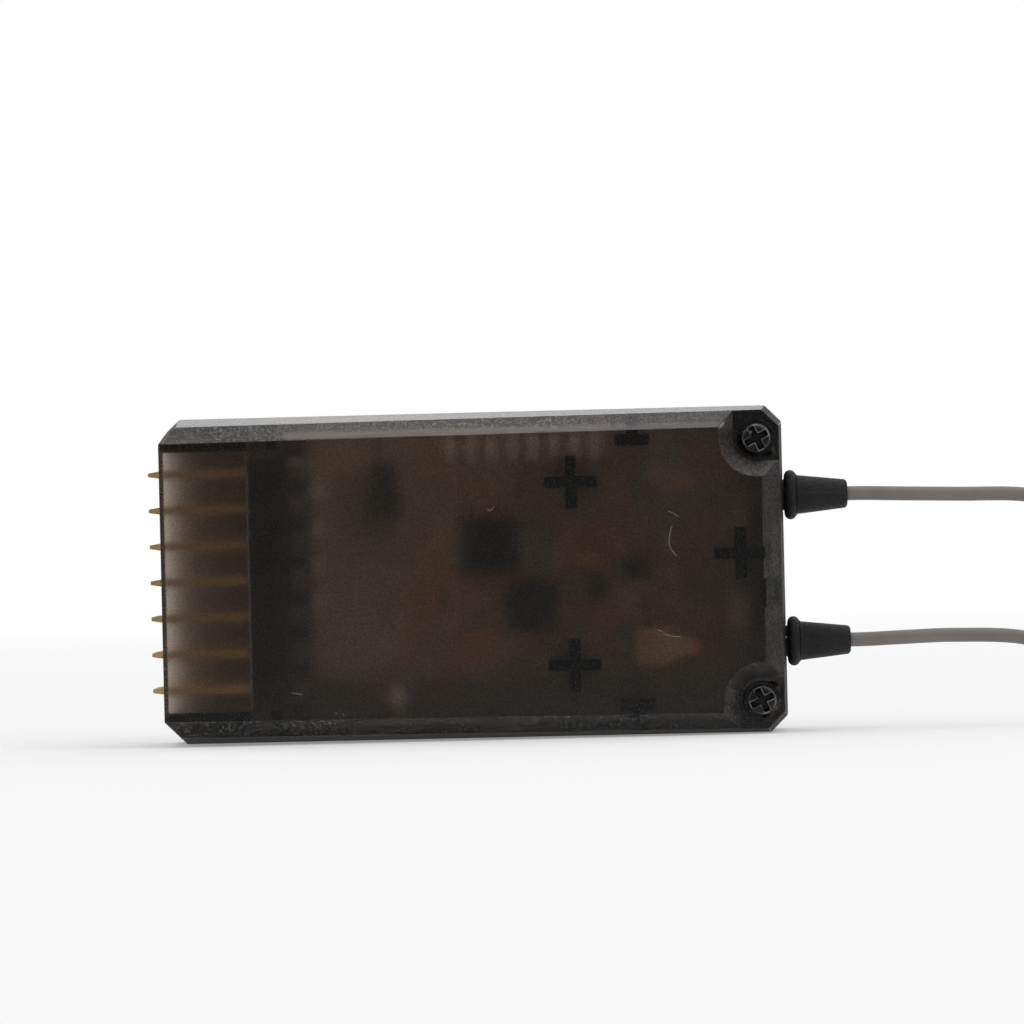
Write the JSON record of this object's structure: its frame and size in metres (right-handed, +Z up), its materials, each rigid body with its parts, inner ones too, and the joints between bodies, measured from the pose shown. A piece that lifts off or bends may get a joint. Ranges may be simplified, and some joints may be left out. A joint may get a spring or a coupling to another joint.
{
  "type": "rc receiver",
  "caption": "Slim radio control receiver: smoked case, pin header in an open bay, screwed corners and coaxial antenna leads in rubber boots.",
  "frame": {"origin": "centre of the case and its pins and boots along X and Y, on the surface it stands on", "axes": "+X from the pins towards the antenna leads, +Y from the back shell with the screws towards the plain front shell, +Z up, across the receiver's width"},
  "size_m": [0.1, 0.0146, 0.0231],
  "materials": {
    "smoked_shell": "smoked translucent moulding with a fine matt grain",
    "header_plastic": "black moulded connector plastic",
    "gold_pin": "thin gold plating, satin",
    "circuit_board": "brown laminate under solder resist, satin",
    "screw_metal": "black oxide steel, worn bright at its edges",
    "boot_rubber": "black moulded rubber, fine grain",
    "coax_jacket": "grey-brown extruded jacket, satin",
    "antenna_core": "bare white inner insulation, satin",
    "chip_plastic": "black moulded package",
    "crystal_can": "drawn metal can",
    "tantalum_case": "tan moulded package",
    "ceramic_body": "brown fired ceramic",
    "pale_part": "pale moulded package"
  },
  "bodies": {
    "root": {"amber_capacitor_1": "ceramic_body", "amber_capacitor_2": "ceramic_body", "amber_capacitor_3": "ceramic_body", "antenna_boot_bottom": "boot_rubber", "antenna_boot_top": "boot_rubber", "antenna_lead_bottom": "coax_jacket", "antenna_lead_top": "coax_jacket", "antenna_tail_bottom": "coax_jacket", "antenna_tail_top": "coax_jacket", "antenna_tip_bottom": "antenna_core", "antenna_tip_top": "antenna_core", "back_shell": "smoked_shell", "case_screw_bottom": "screw_metal", "case_screw_top": "screw_metal", "connector_board": "circuit_board", "crystal": "crystal_can", "filter_part_1": "pale_part", "filter_part_2": "pale_part", "filter_part_3": "pale_part", "filter_part_4": "pale_part", "filter_part_5": "pale_part", "filter_part_6": "pale_part", "filter_part_7": "pale_part", "filter_part_8": "pale_part", "front_shell": "smoked_shell", "header_block": "header_plastic", "lead_coil_bottom": "coax_jacket", "lead_coil_top": "coax_jacket", "main_board": "circuit_board", "pin_a1": "gold_pin", "pin_a2": "gold_pin", "pin_a3": "gold_pin", "pin_a4": "gold_pin", "pin_a5": "gold_pin", "pin_a6": "gold_pin", "pin_a7": "gold_pin", "pin_b1": "gold_pin", "pin_b2": "gold_pin", "pin_b3": "gold_pin", "pin_b4": "gold_pin", "pin_b5": "gold_pin", "pin_b6": "gold_pin", "pin_b7": "gold_pin", "pin_c1": "gold_pin", "pin_c2": "gold_pin", "pin_c3": "gold_pin", "pin_c4": "gold_pin", "pin_c5": "gold_pin", "pin_c6": "gold_pin", "pin_c7": "gold_pin", "power_inductor": "chip_plastic", "processor_chip": "chip_plastic", "radio_chip": "chip_plastic", "status_light": "pale_part", "tantalum_capacitor": "tantalum_case", "voltage_regulator": "chip_plastic"}
  },
  "joints": []
}
